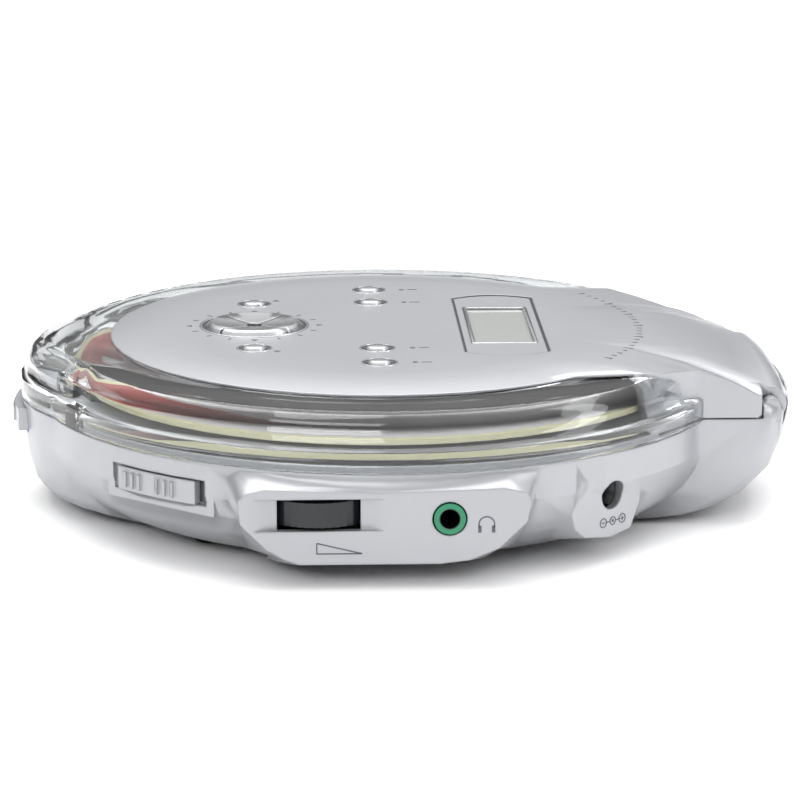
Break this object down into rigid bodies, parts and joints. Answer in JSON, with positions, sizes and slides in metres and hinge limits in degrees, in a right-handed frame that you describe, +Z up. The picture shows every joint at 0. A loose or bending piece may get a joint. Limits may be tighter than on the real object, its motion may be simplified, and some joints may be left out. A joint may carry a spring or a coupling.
{
  "type": "portable cd player",
  "caption": "Round portable compact disc player with a hinged clear-rimmed lid, display, key pad, side controls and a disc drive inside.",
  "frame": {"origin": "middle of the player's outline in plan, on the surface it stands on", "axes": "+X towards the lid hinge, -X to the latch, -Y to the row of controls, +Z up"},
  "size_m": [0.1544, 0.1372, 0.0346],
  "materials": {
    "silver_plastic": "satin silver metallic lacquer",
    "clear_plastic": "clear glossy acrylic",
    "grey_plastic": "satin",
    "black_plastic": "satin",
    "green_plastic": "satin",
    "black_rubber": "matt",
    "bright_steel": "bright",
    "circuit_board": "satin solder mask",
    "display_glass": "glossy pane",
    "lens_glass": "clear coated lens",
    "printed_disc": "glossy print",
    "cell_jacket": "glossy foil jacket"
  },
  "bodies": {
    "base": {"bottom_housing": "silver_plastic", "disc_tray": "grey_plastic", "battery_cell_front": "cell_jacket", "battery_cell_rear": "cell_jacket", "cell_contact_near": "bright_steel", "cell_contact_far": "bright_steel", "main_board": "circuit_board", "volume_pot": "bright_steel", "headphone_jack": "green_plastic", "dc_inlet": "black_plastic", "mode_switch": "bright_steel", "lid_switch": "black_plastic", "hinge_pin_near": "bright_steel", "hinge_pin_far": "bright_steel", "drive_chassis": "bright_steel", "guide_rod": "bright_steel", "sled_motor": "bright_steel", "spindle_motor": "bright_steel", "case_screw_1": "bright_steel", "case_screw_2": "bright_steel", "case_screw_3": "bright_steel", "case_screw_4": "bright_steel", "rubber_foot_1": "black_rubber", "rubber_foot_2": "black_rubber", "rubber_foot_3": "black_rubber", "rubber_foot_4": "black_rubber"},
    "lid": {"lid_clear_cover": "clear_plastic", "lid_top_plate": "silver_plastic", "lid_inner_cover": "grey_plastic", "lid_board": "circuit_board", "key_mat": "black_rubber", "lid_screw_1": "bright_steel", "lid_screw_2": "bright_steel", "lid_screw_3": "bright_steel", "display_bezel": "silver_plastic", "lcd_module": "display_glass", "latch_claw": "grey_plastic"},
    "disc_and_hub": {"compact_disc": "printed_disc", "turntable_hub": "black_plastic"},
    "pickup": {"pickup_sled": "black_plastic", "lens_carrier": "black_plastic", "pickup_lens": "lens_glass"},
    "feed_screw": {"lead_screw": "bright_steel"},
    "volume_wheel": {"volume_wheel": "black_plastic"},
    "mode_slider": {"mode_slider": "silver_plastic"},
    "open_button": {"open_button": "silver_plastic"},
    "lid_switch_pin": {"lid_switch_pin": "black_plastic"},
    "battery_door": {"battery_door": "silver_plastic"},
    "key_upper_left": {"key_upper_left": "silver_plastic"},
    "key_lower_left": {"key_lower_left": "silver_plastic"},
    "key_far_outer": {"key_far_outer": "silver_plastic"},
    "key_far_inner": {"key_far_inner": "silver_plastic"},
    "key_near_inner": {"key_near_inner": "silver_plastic"},
    "key_near_outer": {"key_near_outer": "silver_plastic"},
    "pad_key_right": {"pad_key_right": "silver_plastic"},
    "pad_key_far": {"pad_key_far": "silver_plastic"},
    "pad_key_left": {"pad_key_left": "silver_plastic"},
    "pad_key_near": {"pad_key_near": "silver_plastic"}
  },
  "joints": [
    {"name": "lid_hinge", "type": "hinge", "parent": "base", "child": "lid", "pos_m": [0.0707, 0.00065, 0.0228], "axis": [0, 1, 0], "range_deg": [0, 80]},
    {"name": "disc_spin", "type": "hinge", "parent": "base", "child": "disc_and_hub", "pos_m": [-0.0041, 0.00065, 0.0224], "axis": [0, 0, 1], "continuous": true},
    {"name": "pickup_travel", "type": "slide", "parent": "base", "child": "pickup", "axis": [1, 0, 0], "range_m": [-0.0233, 0.0094]},
    {"name": "feed_screw_turn", "type": "hinge", "parent": "base", "child": "feed_screw", "pos_m": [-0.0341, -0.01155, 0.0175], "axis": [1, 0, 0], "range_deg": [-2797, 1129]},
    {"name": "volume_turn", "type": "hinge", "parent": "base", "child": "volume_wheel", "pos_m": [-0.0176, -0.05765, 0.0139], "axis": [0, 0, 1], "range_deg": [-150, 150]},
    {"name": "mode_travel", "type": "slide", "parent": "base", "child": "mode_slider", "axis": [0.7672, -0.6414, 0], "range_m": [-0.0016, 0.0016]},
    {"name": "open_button_press", "type": "slide", "parent": "base", "child": "open_button", "axis": [1, 0, 0], "range_m": [0, 0.0012], "stiffness_N_per_m": 300},
    {"name": "lid_switch_press", "type": "slide", "parent": "base", "child": "lid_switch_pin", "axis": [0, 0, 1], "range_m": [-0.0008, 0], "stiffness_N_per_m": 200},
    {"name": "battery_door_hinge", "type": "hinge", "parent": "base", "child": "battery_door", "pos_m": [0.0198, 0.00065, 0.0014], "axis": [0, 1, 0], "range_deg": [0, 100]},
    {"name": "key_upper_left_press", "type": "slide", "parent": "lid", "child": "key_upper_left", "axis": [0, 0, 1], "range_m": [-0.0004, 0], "stiffness_N_per_m": 300},
    {"name": "key_lower_left_press", "type": "slide", "parent": "lid", "child": "key_lower_left", "axis": [0, 0, 1], "range_m": [-0.0004, 0], "stiffness_N_per_m": 300},
    {"name": "key_far_outer_press", "type": "slide", "parent": "lid", "child": "key_far_outer", "axis": [0, 0, 1], "range_m": [-0.0004, 0], "stiffness_N_per_m": 300},
    {"name": "key_far_inner_press", "type": "slide", "parent": "lid", "child": "key_far_inner", "axis": [0, 0, 1], "range_m": [-0.0004, 0], "stiffness_N_per_m": 300},
    {"name": "key_near_inner_press", "type": "slide", "parent": "lid", "child": "key_near_inner", "axis": [0, 0, 1], "range_m": [-0.0004, 0], "stiffness_N_per_m": 300},
    {"name": "key_near_outer_press", "type": "slide", "parent": "lid", "child": "key_near_outer", "axis": [0, 0, 1], "range_m": [-0.0004, 0], "stiffness_N_per_m": 300},
    {"name": "pad_key_right_press", "type": "slide", "parent": "lid", "child": "pad_key_right", "axis": [0, 0, 1], "range_m": [-0.0004, 0], "stiffness_N_per_m": 300},
    {"name": "pad_key_far_press", "type": "slide", "parent": "lid", "child": "pad_key_far", "axis": [0, 0, 1], "range_m": [-0.0004, 0], "stiffness_N_per_m": 300},
    {"name": "pad_key_left_press", "type": "slide", "parent": "lid", "child": "pad_key_left", "axis": [0, 0, 1], "range_m": [-0.0004, 0], "stiffness_N_per_m": 300},
    {"name": "pad_key_near_press", "type": "slide", "parent": "lid", "child": "pad_key_near", "axis": [0, 0, 1], "range_m": [-0.0004, 0], "stiffness_N_per_m": 300}
  ],
  "couplings": [
    {"joint": "feed_screw_turn", "follows": "pickup_travel", "rad_per_m": 2094.4}
  ]
}
